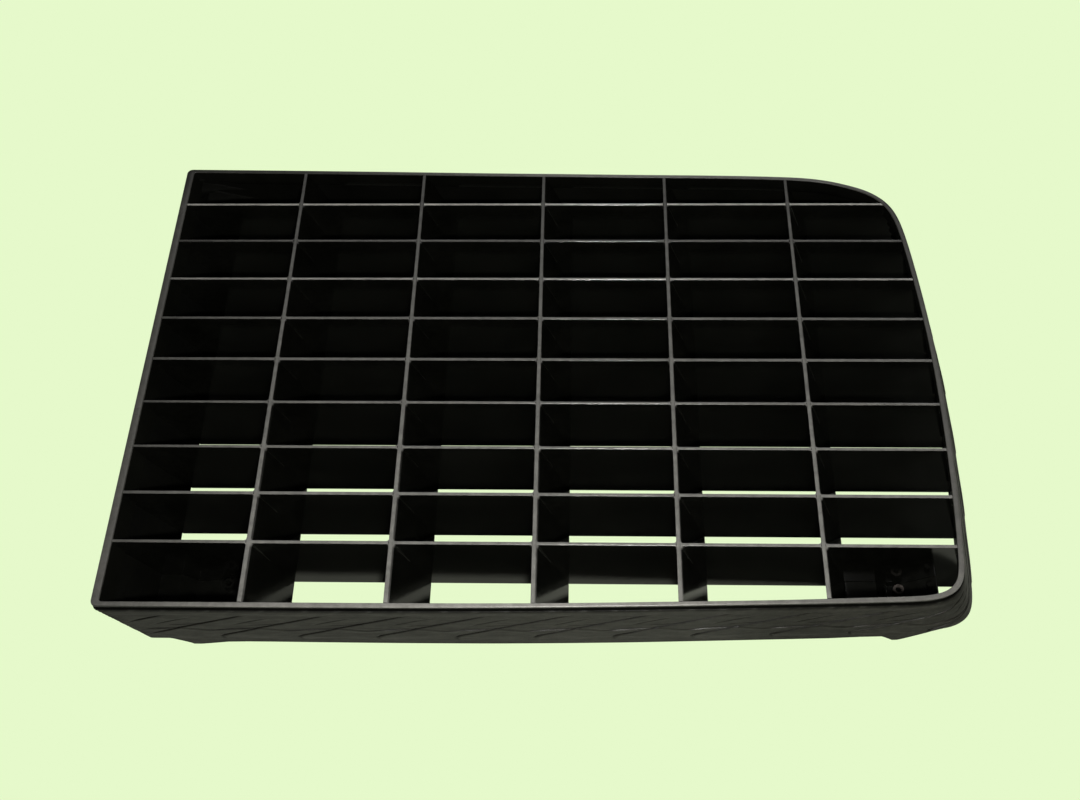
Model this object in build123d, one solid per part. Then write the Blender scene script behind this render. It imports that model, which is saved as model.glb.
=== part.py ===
from build123d import *
import os
from typing import NamedTuple

# Open-bottomed plug tray: a shallow casing, a rim ring, and a lattice of
# leaning long ribs and upright cross vanes that half-lap at every crossing.
# It is drawn in a lattice frame: X = 0 at the middle rib, Y = 0 at the middle
# vane, Z = 0 at the top plane, left at -X and front at -Y. Depths are measured
# down from the top plane. The export moves the parts so the foot tips reach Z = 0.

os.makedirs("parts", exist_ok=True)

# ---------------------------------------------------------------- dimensions
HEIGHT = 58.5            # top plane above the foot tips
SHIFT_X = -6.66          # lattice centre to the centre of the footprint
SHIFT_Y = 5.425
CLEAR = 0.15             # running gap at every fitted face

# Lattice
PITCH_X = 100.0          # rib to rib
PITCH_Y = 40.0           # vane to vane
N_RIBS = 5
N_VANES = 9
RIB_T = 3.0              # measured along X
VANE_T = 2.5
LATTICE_DEPTH = 56.6
RIB_LEAN = 0.3966        # X shift per mm of depth
HALF_DEPTH = 28.0        # where the half-lap slots meet
TENON = 1.2              # how far plate ends reach into the casing walls
TENON_TOP, TENON_BOTTOM = 22.0, 48.0
GROOVE_TOP = TENON_TOP - 0.3
SLOT_REACH = 5.0         # vane slots are cut this far past the vane and the top

RIB_X = [PITCH_X * (i - (N_RIBS - 1) / 2) for i in range(N_RIBS)]
VANE_Y = [PITCH_Y * ((N_VANES - 1) / 2 - j) for j in range(N_VANES)]  # vane 1 at the rear

# Rim. Four-value tuples are left, front, right, rear.
RIM_WIDTHS = (5.5, 3.2, 4.2, 3.3)      # top face
CORNER_R = 4.5           # plan radius of the two left corners, outside
CORNER_R_IN = 1.6        # and inside
FLANGE_T = 2.2
NECK_DEPTH = 14.0        # rim neck reaches this far down
NECK_TOP_OVERLAP = 0.2   # neck runs up into the flange
NECK_FIT = 0.2           # gap between neck and casing wall
NECK_LEANS = (0.45, 0.15)              # inner face, left and right, X per mm of depth

# Casing
CASING_TOP = 5.0
SHOULDER = 0.8           # stands proud of the rim, except on the left
CASING_INSETS = (0.0, -SHOULDER, -SHOULDER, -SHOULDER)
WALLS = (4.2, 2.8, 2.4, 2.8)
CASING_LEANS = (0.636, 0.358)          # side walls, left and right, X per mm of depth
DRAFT = 1.0 / 50.0       # front and rear walls lean in
LEFT_EDGE, RIGHT_EDGE = 56.4, 43.5     # bottom edges of the side walls
RETURN_LIP = 9.4         # bottom lip of the right wall, from the outer face
LIP_T = 2.6

# Corner plates, posts, lugs and screws
FLOOR_T = 3.0
VANE_GAP = 0.25          # plate to end vane
RIB_GAP = 0.3            # plate to end rib
POST_X, POST_Y = 240.0, 168.5   # half spacings of the mounting posts
POST_CX = 18.7           # centre of the post rectangle
POST_R, POST_HOLE_R, POST_LENGTH = 3.9, 2.2, 9.0
PAD_HALF_X, PAD_HALF_Y = 7.0, 5.6
PIN_OFFSET = 20.5        # post to pin, along X
PIN_R, PIN_LENGTH = 1.9, 6.0
LUG_HALF = 5.5           # half width, and screw axis to the lug's inner face
LUG_IN, LUG_OUT = 12.0, 8.0     # lug reach either side of the wall line
LUG_TOP = 36.0
LUG_GAP = 0.3            # lug to corner plate
SCREW_R = 2.0
SCREW_HEAD_R, SCREW_HEAD_T = 4.0, 2.3
SHANK_LENGTH = 12.4
SHANK_OVERLAP = 0.2      # shank runs into the head
HEAD_GAP = 0.05          # head to corner plate
RECESS_LENGTH, RECESS_WIDTH = 4.4, 1.0

# Construction limits, outside every part
REACH_X, REACH_Y = 360.0, 240.0
REACH_DEPTH = 70.0
LOFT_END = 60.0

# Plan outline of the rim (X, Y), from the front left corner round to the rear left
OUTLINE = [
    (-301.8, -211.05), (-222.0, -210.87), (-142.0, -210.75), (-62.0, -210.25),
    (18.0, -209.13), (98.0, -207.32), (168.0, -205.45), (218.0, -203.95),
    (247.0, -202.85), (262.0, -202.0), (274.0, -200.2), (283.5, -196.2),
    (289.9, -190.0), (293.4, -181.5), (295.3, -168.0), (297.4, -138.0),
    (299.3, -98.0), (300.3, -58.0), (300.5, -18.0), (299.7, 20.0),
    (297.5, 60.0), (294.4, 99.0), (291.2, 128.0), (287.6, 146.5),
    (283.0, 158.0), (276.0, 167.2), (265.5, 175.2), (252.5, 181.0),
    (239.0, 185.4), (225.5, 188.3), (212.0, 190.0), (198.0, 190.9),
    (146.0, 192.6), (80.0, 193.6), (13.5, 194.7), (-53.5, 195.8),
    (-121.0, 197.2), (-202.0, 198.7), (-300.8, 200.2),
]
OUTLINE_LEFT, OUTLINE_SPAN = -302.0, 602.5   # X range over which the lean is blended

# Bottom edges of the front and rear walls and of the corner plates: (X, depth)
LEFT_STEPS = [
    (-330.0, 49.2), (-256.0, 49.2), (-246.0, HEIGHT), (-240.5, HEIGHT),
    (-220.0, 54.8), (-205.0, 54.2),
]
FRONT_PROFILE = LEFT_STEPS + [
    (-188.0, 54.2), (-110.0, 55.0), (-30.0, 55.6), (60.0, 55.2), (150.0, 54.0),
    (205.0, 53.4), (228.0, 52.2), (243.5, 52.2), (250.5, HEIGHT),
    (254.5, HEIGHT), (274.0, 48.8), (284.0, RIGHT_EDGE), (340.0, RIGHT_EDGE),
]
REAR_PROFILE = LEFT_STEPS + [
    (205.0, 54.2), (226.0, 52.2), (236.0, 52.2), (243.0, HEIGHT),
    (247.0, HEIGHT), (266.0, 48.8), (274.0, RIGHT_EDGE), (340.0, RIGHT_EDGE),
]


class Corner(NamedTuple):
    """One corner of the tray, with its plate, lug, screw and post."""
    name: str
    side_x: int        # -1 left, 1 right
    side_y: int        # -1 front, 1 rear
    x_min: float       # X range of the plate
    x_max: float
    lug_x: float
    wall_y: float      # wall line at the lug

    @property
    def lug_inner_y(self):
        return self.wall_y - self.side_y * LUG_IN

    @property
    def screw_y(self):
        return self.lug_inner_y + self.side_y * LUG_HALF

    @property
    def underside(self):
        """Depth of the plate's underside at the screw."""
        return 54.2 if self.side_x < 0 else 52.2


CORNERS = [
    Corner("front_left", -1, -1, -290, -170, -198.0, -208.5),
    Corner("front_right", 1, -1, 210, 285, 233.5, -199.5),
    Corner("rear_left", -1, 1, -290, -170, -198.0, 195.0),
    Corner("rear_right", 1, 1, 210, 284, 231.0, 183.0),
]


# ---------------------------------------------------------- rings and blocks
def outline_normals():
    """Outward normal at each outline point."""
    normals = []
    last = len(OUTLINE) - 1
    for i in range(last + 1):
        before = OUTLINE[max(i - 1, 0)]
        after = OUTLINE[min(i + 1, last)]
        run_x, run_y = after[0] - before[0], after[1] - before[1]
        length = (run_x * run_x + run_y * run_y) ** 0.5
        normals.append((run_y / length, -run_x / length))
    normals[0] = (-1.0, -1.0)       # square corners move along both walls
    normals[-1] = (-1.0, 1.0)
    return normals


NORMALS = outline_normals()


def ramp(distance, length):
    return min(max(distance / length, 0.0), 1.0)


def front_widening(x):
    """Extra width of the rim's front face towards its left and right ends."""
    return 0.45 * ramp(-20.0 - x, 80.0) + 0.5 * ramp(x - 170.0, 60.0)


def ring_wire(depth, insets, leans, lean_start, corner_r, widen_front):
    """Closed plan curve at a depth, inset from the rim outline side by side."""
    left, front, right, rear = insets
    shift_left = leans[0] * max(min(depth, LEFT_EDGE) - lean_start, 0.0)
    shift_right = leans[1] * max(min(depth, RIGHT_EDGE) - lean_start, 0.0)
    draft = DRAFT * max(depth - CASING_TOP, 0.0)
    z = -depth
    points = []
    for (x, y), (normal_x, normal_y) in zip(OUTLINE, NORMALS):
        across = (x - OUTLINE_LEFT) / OUTLINE_SPAN
        inset_x = right if normal_x > 0 else left
        inset_y = front if normal_y < 0 else rear
        if widen_front and normal_y < 0:
            inset_y += front_widening(x)
        shift = shift_left * (1.0 - across) + shift_right * across
        points.append(Vector(x - normal_x * inset_x + shift,
                             y - normal_y * (inset_y + draft), z))

    # round the two left corners
    near, far = points[0], points[-1]
    r = corner_r
    inset = r * (1 - 0.5 ** 0.5)     # arc midpoint from the square corner
    near_x, near_y = near + Vector(r, 0, 0), near + Vector(0, r, 0)
    far_x, far_y = far + Vector(r, 0, 0), far - Vector(0, r, 0)
    curve = Edge.make_spline([near_x] + points[1:-1] + [far_x])
    near_arc = Edge.make_three_point_arc(near_y, near + Vector(inset, inset, 0), near_x)
    far_arc = Edge.make_three_point_arc(far_x, far + Vector(inset, -inset, 0), far_y)
    side = Edge.make_line(far_y, near_y)
    return Wire([near_arc, curve, far_arc, side])


def stack(depths, insets, leans, lean_start=CASING_TOP, corner_r=CORNER_R, widen_front=False):
    """Ruled solid through the plan curves at the given depths."""
    return Solid.make_loft(
        [ring_wire(d, insets, leans, lean_start, corner_r, widen_front) for d in depths],
        ruled=True)


def casing_inner(gap, depths):
    """Inner surface of the casing walls, moved inward by gap."""
    insets = [outer + wall + gap for outer, wall in zip(CASING_INSETS, WALLS)]
    return stack(depths, insets, CASING_LEANS, corner_r=CORNER_R_IN)


def neck_inner(gap, depths):
    """Inner surface of the rim neck, moved inward by gap."""
    insets = [width + gap for width in RIM_WIDTHS]
    return stack(depths, insets, NECK_LEANS, lean_start=0.0, corner_r=CORNER_R_IN,
                 widen_front=True)


def slab(x0, x1, y0, y1, top, bottom):
    """Axis-aligned block between two depths."""
    return Pos((x0 + x1) / 2, (y0 + y1) / 2, -(top + bottom) / 2) * Box(
        x1 - x0, y1 - y0, bottom - top)


def peg(x, y, depth, radius, length):
    """Upright cylinder centred at a depth."""
    return Pos(x, y, -depth) * Cylinder(radius, length)


def xz_prism(points, y0, y1):
    """Prism along Y of a closed polygon given as (X, depth)."""
    wire = Wire.make_polygon([Vector(x, y0, -d) for x, d in points], close=True)
    return Solid.extrude(Face(wire), Vector(0, y1 - y0, 0))


def leaning_plate(x_top, half, y0, y1, top, bottom):
    """Plate parallel to the ribs, centred on x_top at the top plane."""
    x0, x1 = x_top + RIB_LEAN * top, x_top + RIB_LEAN * bottom
    return xz_prism([(x0 - half, top), (x0 + half, top),
                     (x1 + half, bottom), (x1 - half, bottom)], y0, y1)


def rib_plate(x, gap, top, bottom):
    return leaning_plate(x, RIB_T / 2 + gap, -REACH_Y, REACH_Y, top, bottom)


def vane_plate(y, gap, top, bottom):
    half = VANE_T / 2 + gap
    return slab(-REACH_X, REACH_X, y - half, y + half, top, bottom)


def largest_solid(shape):
    return shape.solids().sort_by(SortBy.VOLUME)[-1]


# -------------------------------------------------------------------- lattice
def lattice_envelope():
    """Room inside the neck and casing, with a band reaching into the grooves."""
    seam = NECK_DEPTH + 0.3
    upper = neck_inner(CLEAR, [0.0, seam])
    lower = casing_inner(CLEAR, [seam, RIGHT_EDGE, LEFT_EDGE, LATTICE_DEPTH])
    tenons = casing_inner(-TENON, [TENON_TOP, RIGHT_EDGE, TENON_BOTTOM])
    return upper + lower + tenons


def long_rib(x, envelope):
    """Leaning rib, slotted from below."""
    rib = rib_plate(x, 0.0, 0.0, LATTICE_DEPTH) & envelope
    for y in VANE_Y:
        rib -= vane_plate(y, CLEAR, HALF_DEPTH - CLEAR, REACH_DEPTH)
    return largest_solid(rib)


def cross_vane(y, envelope):
    """Upright vane, slotted from above."""
    vane = vane_plate(y, 0.0, 0.0, LATTICE_DEPTH) & envelope
    for x in RIB_X:
        vane -= leaning_plate(x, RIB_T / 2 + CLEAR, y - SLOT_REACH, y + SLOT_REACH,
                              -SLOT_REACH, HALF_DEPTH)
    return largest_solid(vane)


# --------------------------------------------------------------------- casing
def outer_casing():
    outer = stack([CASING_TOP, RIGHT_EDGE, LEFT_EDGE, LOFT_END], CASING_INSETS, CASING_LEANS)
    casing = outer - casing_inner(
        0.0, [CASING_TOP - 1.0, CASING_TOP, RIGHT_EDGE, LEFT_EDGE, LOFT_END + 1.0])

    # return lip along the bottom of the right wall
    lip_inner = stack([30.0, RIGHT_EDGE, 50.0], (0.0, 0.0, RETURN_LIP - SHOULDER, 0.0),
                      CASING_LEANS)
    lip_band = slab(270, REACH_X, -165, 125, RIGHT_EDGE - LIP_T, RIGHT_EDGE)
    casing = casing + ((outer & lip_band) - lip_inner)

    # screw lugs inside the front and rear walls
    for c in CORNERS:
        y0, y1 = sorted([c.lug_inner_y, c.wall_y + c.side_y * LUG_OUT])
        bottom = c.underside - FLOOR_T - LUG_GAP
        block = slab(c.lug_x - LUG_HALF, c.lug_x + LUG_HALF, y0, y1, LUG_TOP, bottom) & outer
        casing = casing + block

    # grooves for the plate ends, open at the bottom edge
    groove_room = casing_inner(
        -TENON - CLEAR, [GROOVE_TOP, RIGHT_EDGE, LEFT_EDGE, LOFT_END + 1.0])
    groove_end = LOFT_END + 0.9
    for x in RIB_X:
        casing -= rib_plate(x, CLEAR, GROOVE_TOP, groove_end) & groove_room
    for y in VANE_Y:
        casing -= vane_plate(y, CLEAR, GROOVE_TOP, groove_end) & groove_room

    # bottom edges: stepped front and rear walls, plain side walls
    front_y, rear_y = -170, 150
    closing = [(340.0, REACH_DEPTH), (-330.0, REACH_DEPTH)]
    casing -= xz_prism(FRONT_PROFILE + closing, -REACH_Y, front_y)
    casing -= xz_prism(REAR_PROFILE + closing, rear_y, REACH_Y)
    casing -= slab(-REACH_X, -150, front_y, rear_y, LEFT_EDGE, REACH_DEPTH)
    casing -= slab(150, REACH_X, front_y, rear_y, RIGHT_EDGE, REACH_DEPTH)

    # pilot holes in the lugs
    for c in CORNERS:
        casing -= peg(c.lug_x, c.screw_y, 48.0, SCREW_R + 0.05, 20.0)
    return largest_solid(casing)


# ------------------------------------------------------------------------ rim
def rim_frame():
    flange = stack([0.0, FLANGE_T], (0.0,) * 4, (0.0, 0.0), lean_start=0.0)
    neck = casing_inner(NECK_FIT, [FLANGE_T - NECK_TOP_OVERLAP, CASING_TOP, NECK_DEPTH])
    rim = flange + neck
    rim -= neck_inner(0.0, [-1.0, 0.0, NECK_DEPTH + 1.0])
    return largest_solid(rim)


# -------------------------------------------------------------- corner plates
def depth_at(profile, x):
    for (xa, da), (xb, db) in zip(profile, profile[1:]):
        if xa <= x <= xb:
            return da + (db - da) * (x - xa) / (xb - xa)


def corner_plate(c):
    profile = FRONT_PROFILE if c.side_y < 0 else REAR_PROFILE
    lower = [(c.x_min, depth_at(profile, c.x_min))]
    lower += [(x, d) for x, d in profile if c.x_min < x < c.x_max]
    lower += [(c.x_max, depth_at(profile, c.x_max))]
    upper = [(x, d - FLOOR_T) for x, d in reversed(lower)]
    vane_face = VANE_Y[0] + VANE_T / 2 + VANE_GAP
    y0, y1 = sorted([c.side_y * vane_face, c.side_y * REACH_Y])
    body = xz_prism(lower + upper, y0, y1)

    # tubular mounting post, on a pad set into the floor
    post_x, post_y = POST_CX + c.side_x * POST_X, c.side_y * POST_Y
    floor = depth_at(profile, post_x)
    pad = slab(post_x - PAD_HALF_X, post_x + PAD_HALF_X,
               post_y - PAD_HALF_Y, post_y + PAD_HALF_Y, floor - 3.4, floor - 0.2)
    body = body + pad + peg(post_x, post_y, floor - 5.0, POST_R, POST_LENGTH)
    if c.side_x > 0:
        # small solid pin beside the post
        pin_x = post_x + PIN_OFFSET
        pin_depth = depth_at(profile, pin_x) - 4.0
        body = body + peg(pin_x, post_y, pin_depth, PIN_R, PIN_LENGTH)

    body = body & casing_inner(CLEAR, [20.0, RIGHT_EDGE, LEFT_EDGE, LOFT_END])
    body -= peg(c.lug_x, c.screw_y, 52.0, SCREW_R + 0.25, 20.0)
    body -= peg(post_x, post_y, 50.0, POST_HOLE_R, 40.0)
    body = largest_solid(body)

    # trim parallel to the nearest rib, keeping the gap
    trim_half = 30.0
    rib_face = c.side_x * (RIB_X[-1] + RIB_T / 2 + RIB_GAP)
    trim = leaning_plate(rib_face - c.side_x * trim_half, trim_half,
                         -REACH_Y, REACH_Y, 30.0, 62.0)
    return largest_solid(body - trim)


# --------------------------------------------------------------------- screws
def corner_screw(c):
    """Screw pointing up, with a cross recess in the underside of its head."""
    x, y = c.lug_x, c.screw_y
    head_top = c.underside + HEAD_GAP
    head = peg(x, y, head_top + SCREW_HEAD_T / 2, SCREW_HEAD_R, SCREW_HEAD_T)
    shank = peg(x, y, head_top + SHANK_OVERLAP - SHANK_LENGTH / 2, SCREW_R, SHANK_LENGTH)
    screw = head + shank
    for size_x, size_y in [(RECESS_LENGTH, RECESS_WIDTH), (RECESS_WIDTH, RECESS_LENGTH)]:
        screw -= Pos(x, y, -(head_top + 2.0)) * Box(size_x, size_y, 1.6)
    return largest_solid(screw)


# ----------------------------------------------------------- build and export
parts = {}
envelope = lattice_envelope()
for i, x in enumerate(RIB_X):
    parts[f"long_rib_{i + 1}"] = long_rib(x, envelope)
for j, y in enumerate(VANE_Y):
    parts[f"cross_vane_{j + 1}"] = cross_vane(y, envelope)
parts["outer_casing"] = outer_casing()
parts["rim_frame"] = rim_frame()
for corner in CORNERS:
    parts[f"corner_plate_{corner.name}"] = corner_plate(corner)

place = Location((SHIFT_X, SHIFT_Y, HEIGHT))
placed = {name: shape.moved(place) for name, shape in parts.items()}
placed["corner_plate_screws"] = Compound(
    children=[corner_screw(corner).moved(place) for corner in CORNERS])
for name, shape in placed.items():
    shape.label = name
    export_step(shape, f"parts/{name}.step")
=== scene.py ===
"""A black moulded grille: a lattice of five long ribs and nine cross vanes inside a rim,
standing on a deep casing with screwed corner plates.

It lies flat, lattice up, with its straight side to the left (-X) and its front to -Y.
"""
import math

import bmesh
import bpy
import numpy as np
from mathutils import Matrix, Vector


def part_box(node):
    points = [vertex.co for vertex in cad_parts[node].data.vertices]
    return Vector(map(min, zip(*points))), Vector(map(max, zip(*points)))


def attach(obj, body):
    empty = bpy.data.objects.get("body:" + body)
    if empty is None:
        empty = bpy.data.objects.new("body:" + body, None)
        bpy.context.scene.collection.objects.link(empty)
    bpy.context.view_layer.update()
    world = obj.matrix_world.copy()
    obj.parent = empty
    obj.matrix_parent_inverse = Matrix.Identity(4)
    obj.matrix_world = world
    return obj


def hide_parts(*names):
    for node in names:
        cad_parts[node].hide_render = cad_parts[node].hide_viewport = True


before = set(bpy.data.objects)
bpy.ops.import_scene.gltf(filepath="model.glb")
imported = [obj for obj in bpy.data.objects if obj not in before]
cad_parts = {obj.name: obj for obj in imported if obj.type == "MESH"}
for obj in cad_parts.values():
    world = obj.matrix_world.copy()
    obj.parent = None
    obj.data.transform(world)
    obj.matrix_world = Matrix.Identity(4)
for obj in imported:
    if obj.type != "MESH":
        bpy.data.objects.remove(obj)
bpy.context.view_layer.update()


# ------------------------------------------------------------- dimensions
# Lattice frame in millimetres: X = 0 at the middle rib, Y = 0 at the middle
# vane, depth = 0 at the top plane and growing downward.
PITCH_X, PITCH_Y = 100.0, 40.0
RIB_X = [PITCH_X * (i - 2) for i in range(5)]
VANE_Y = [PITCH_Y * (4 - j) for j in range(9)]
RIB_T, VANE_T = 3.0, 2.5
RIB_LEAN = 0.3966                        # +X shift per mm of depth
CASING_TOP, FLANGE_T, NECK_DEPTH = 5.0, 2.2, 14.0
SHOULDER = 0.8                           # casing stands out this far beyond the rim
NECK_GAP = 0.2                           # between the neck and the casing's inside
WALL = (4.2, 2.8, 2.4, 2.8)              # left, front, right, rear
RIM = (5.5, 3.2, 4.2, 3.3)               # left, front, right, rear
WIDE_FRONT = 3.0                         # front insets above this widen at both ends
CASING_LEAN = (0.636, 0.358)             # +X shift per mm of depth, at left and right
NECK_LEAN = (0.45, 0.15)
LEAN_START, LEAN_SPAN = -302.0, 602.5    # X range over which the lean changes
DRAFT = 1.0 / 50.0
LEFT_EDGE, RIGHT_EDGE = 56.4, 43.5       # depths of the casing's bottom edges
CORNER_R, CORNER_R_IN = 4.5, 1.6

# Outer edge of the rim, X and Y, from the front left corner round to the rear left.
OUTLINE = [
    (-301.8, -211.05), (-222.0, -210.87), (-142.0, -210.75), (-62.0, -210.25),
    (18.0, -209.13), (98.0, -207.32), (168.0, -205.45), (218.0, -203.95),
    (247.0, -202.85), (262.0, -202.0), (274.0, -200.2), (283.5, -196.2),
    (289.9, -190.0), (293.4, -181.5), (295.3, -168.0), (297.4, -138.0),
    (299.3, -98.0), (300.3, -58.0), (300.5, -18.0), (299.7, 20.0),
    (297.5, 60.0), (294.4, 99.0), (291.2, 128.0), (287.6, 146.5),
    (283.0, 158.0), (276.0, 167.2), (265.5, 175.2), (252.5, 181.0),
    (239.0, 185.4), (225.5, 188.3), (212.0, 190.0), (198.0, 190.9),
    (146.0, 192.6), (80.0, 193.6), (13.5, 194.7), (-53.5, 195.8),
    (-121.0, 197.2), (-202.0, 198.7), (-300.8, 200.2),
]
# Bottom edge of the front and rear walls: X and depth.
FRONT_PROFILE = [
    (-330.0, 49.2), (-256.0, 49.2), (-246.0, 58.5), (-240.5, 58.5), (-220.0, 54.8),
    (-205.0, 54.2), (-188.0, 54.2), (-110.0, 55.0), (-30.0, 55.6), (60.0, 55.2),
    (150.0, 54.0), (205.0, 53.4), (228.0, 52.2), (243.5, 52.2), (250.5, 58.5),
    (254.5, 58.5), (274.0, 48.8), (284.0, 43.5), (340.0, 43.5),
]
REAR_PROFILE = [
    (-330.0, 49.2), (-256.0, 49.2), (-246.0, 58.5), (-240.5, 58.5), (-220.0, 54.8),
    (-205.0, 54.2), (205.0, 54.2), (226.0, 52.2), (236.0, 52.2), (243.0, 58.5),
    (247.0, 58.5), (266.0, 48.8), (274.0, 43.5), (340.0, 43.5),
]

rim_low, rim_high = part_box("rim_frame")
ORIGIN_X = rim_low.x * 1000 - OUTLINE[0][0]
ORIGIN_Y = rim_low.y * 1000 - OUTLINE[0][1]
TOP = rim_high.z * 1000


def place(x, y, depth):
    """Scene position in metres of a point in the lattice frame."""
    return np.stack([(x + ORIGIN_X) / 1000, (y + ORIGIN_Y) / 1000, (TOP - depth) / 1000], -1)


# ------------------------------------------------------------ plan curves
def outline_normals():
    """Outward unit normals; the two square corners get diagonals."""
    normals = []
    for before, after in zip(OUTLINE, OUTLINE[2:]):
        run_x, run_y = after[0] - before[0], after[1] - before[1]
        length = math.hypot(run_x, run_y)
        normals.append((run_y / length, -run_x / length))
    return [(-1.0, -1.0)] + normals + [(-1.0, 1.0)]


NORMALS = outline_normals()


def spline(points, count):
    """Natural cubic spline through the points, count samples, chord-length parameter."""
    p = np.array(points, float)
    knots = np.concatenate([[0], np.cumsum(np.hypot(*(p[1:] - p[:-1]).T))])
    size = len(p)
    gap = np.diff(knots)
    matrix = np.zeros((size, size))
    target = np.zeros((size, 2))
    matrix[0, 0] = matrix[-1, -1] = 1
    for i in range(1, size - 1):
        matrix[i, i - 1:i + 2] = gap[i - 1], 2 * (gap[i - 1] + gap[i]), gap[i]
        target[i] = 6 * ((p[i + 1] - p[i]) / gap[i] - (p[i] - p[i - 1]) / gap[i - 1])
    bend = np.linalg.solve(matrix, target)
    t = np.linspace(0, knots[-1], count)
    k = np.clip(np.searchsorted(knots, t, side="right") - 1, 0, size - 2)
    past, left, span = (t - knots[k])[:, None], (knots[k + 1] - t)[:, None], gap[k][:, None]
    return (bend[k] * left ** 3 + bend[k + 1] * past ** 3) / (6 * span) \
        + (p[k] / span - bend[k] * span / 6) * left \
        + (p[k + 1] / span - bend[k + 1] * span / 6) * past


# Samples in each square corner, the main curve and the straight left side.
N_ARC, N_MAIN, N_LINE = 12, 4000, 900


def ring(depth, insets, leans, start, corner):
    """Closed plan curve at a depth: the outline inset, drafted and leaned from start down."""
    left, front, right, rear = insets
    drop_left = max(min(depth, LEFT_EDGE) - start, 0.0)
    drop_right = max(min(depth, RIGHT_EDGE) - start, 0.0)
    draft = DRAFT * max(depth - CASING_TOP, 0.0)
    points = []
    for (x, y), (nx, ny) in zip(OUTLINE, NORMALS):
        across = (x - LEAN_START) / LEAN_SPAN
        inset_x = right if nx > 0 else left
        inset_y = front if ny < 0 else rear
        if ny < 0 and front > WIDE_FRONT:
            inset_y += 0.45 * min(max((-20.0 - x) / 80.0, 0.0), 1.0)
            inset_y += 0.5 * min(max((x - 170.0) / 60.0, 0.0), 1.0)
        shift = leans[0] * drop_left * (1.0 - across) + leans[1] * drop_right * across
        points.append((x - nx * inset_x + shift, y - ny * inset_y - draft * ny))
    (ax, ay), (bx, by) = points[0], points[-1]
    r = corner
    main = spline([(ax + r, ay)] + points[1:-1] + [(bx + r, by)], N_MAIN)
    turn = np.linspace(0, math.pi / 2, N_ARC + 1)
    t = turn[:-1]
    front_arc = np.stack([ax + r - r * np.cos(t), ay + r - r * np.sin(t)], 1)
    t = turn[1:]
    rear_arc = np.stack([bx + r - r * np.sin(t), by - r + r * np.cos(t)], 1)
    part = np.linspace(0, 1, N_LINE + 1)[1:-1, None]
    line = rear_arc[-1] * (1 - part) + front_arc[0] * part
    return np.concatenate([front_arc, main, rear_arc, line])


class Skin:
    """Ruled surface through plan curves at several depths."""

    def __init__(self, depths, *ring_shape):
        self.depths = np.array(depths, float)
        self.rings = np.stack([ring(d, *ring_shape) for d in depths])
        self.count = self.rings.shape[1]

    def at(self, index, depth):
        """Points at ring positions and depths, as (x, y)."""
        index = np.mod(index, self.count)
        i = np.floor(index).astype(int)
        part = (index - i)[..., None]
        j = (i + 1) % self.count
        i = i % self.count
        depths = self.depths
        depth = np.clip(depth, depths[0], depths[-1])
        k = np.clip(np.searchsorted(depths, depth, side="right") - 1, 0, len(depths) - 2)
        down = ((depth - depths[k]) / (depths[k + 1] - depths[k]))[..., None]
        upper = self.rings[k, i] * (1 - part) + self.rings[k, j] * part
        lower = self.rings[k + 1, i] * (1 - part) + self.rings[k + 1, j] * part
        return upper * (1 - down) + lower * down

    def normal(self, index, depth, step=4.0):
        """Outward plan normals."""
        run = self.at(index + step, depth) - self.at(index - step, depth)
        run /= np.linalg.norm(run, axis=-1, keepdims=True) + 1e-12
        return np.stack([run[..., 1], -run[..., 0]], -1)


LEVELS = [CASING_TOP, RIGHT_EDGE, LEFT_EDGE, 60.0]
# the shoulder pushes every wall but the left one outward
CASING_INSETS = (WALL[0],) + tuple(w - SHOULDER for w in WALL[1:])
CASING_OUT = Skin(LEVELS, (0.0, -SHOULDER, -SHOULDER, -SHOULDER), CASING_LEAN, CASING_TOP,
                  CORNER_R)
CASING_IN = Skin(LEVELS, CASING_INSETS, CASING_LEAN, CASING_TOP, CORNER_R_IN)
RIM_OUT = Skin([0.0, FLANGE_T], (0.0, 0.0, 0.0, 0.0), (0.0, 0.0), 0.0, CORNER_R)
NECK_OUT = Skin([0.0, CASING_TOP, NECK_DEPTH], tuple(w + NECK_GAP for w in CASING_INSETS),
                CASING_LEAN, CASING_TOP, CORNER_R_IN)
NECK_IN = Skin([0.0, NECK_DEPTH], RIM, NECK_LEAN, 0.0, CORNER_R_IN)

# Distances along the casing wall are measured at this depth.
GAUGE_DEPTH = 25.0
gauge = CASING_OUT.at(np.arange(CASING_OUT.count, dtype=float),
                      np.full(CASING_OUT.count, GAUGE_DEPTH))
steps = np.hypot(*(np.roll(gauge, -1, 0) - gauge).T)
ARC = np.concatenate([[0], np.cumsum(steps)])
PERIMETER = ARC[-1]
REAR_LEFT = ARC[N_ARC + N_MAIN]          # distance of the rear left corner


def ring_index(distance):
    """Ring position at a distance along the wall; 0 is the front left corner."""
    return np.interp(np.mod(distance, PERIMETER), ARC,
                     np.arange(CASING_OUT.count + 1, dtype=float))


# ------------------------------------------------------------ mesh helpers
def link(obj):
    bpy.context.scene.collection.objects.link(obj)
    return obj


def shade(mesh, angle):
    """Smooth shading, sharp where faces meet at more than angle degrees."""
    mesh.polygons.foreach_set("use_smooth", [True] * len(mesh.polygons))
    mesh.set_sharp_from_angle(angle=math.radians(angle))
    mesh.update()


def tidy(obj, angle):
    bm = bmesh.new()
    bm.from_mesh(obj.data)
    bmesh.ops.remove_doubles(bm, verts=bm.verts, dist=2e-6)
    bmesh.ops.recalc_face_normals(bm, faces=bm.faces)
    bm.to_mesh(obj.data)
    bm.free()
    shade(obj.data, angle)


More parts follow.
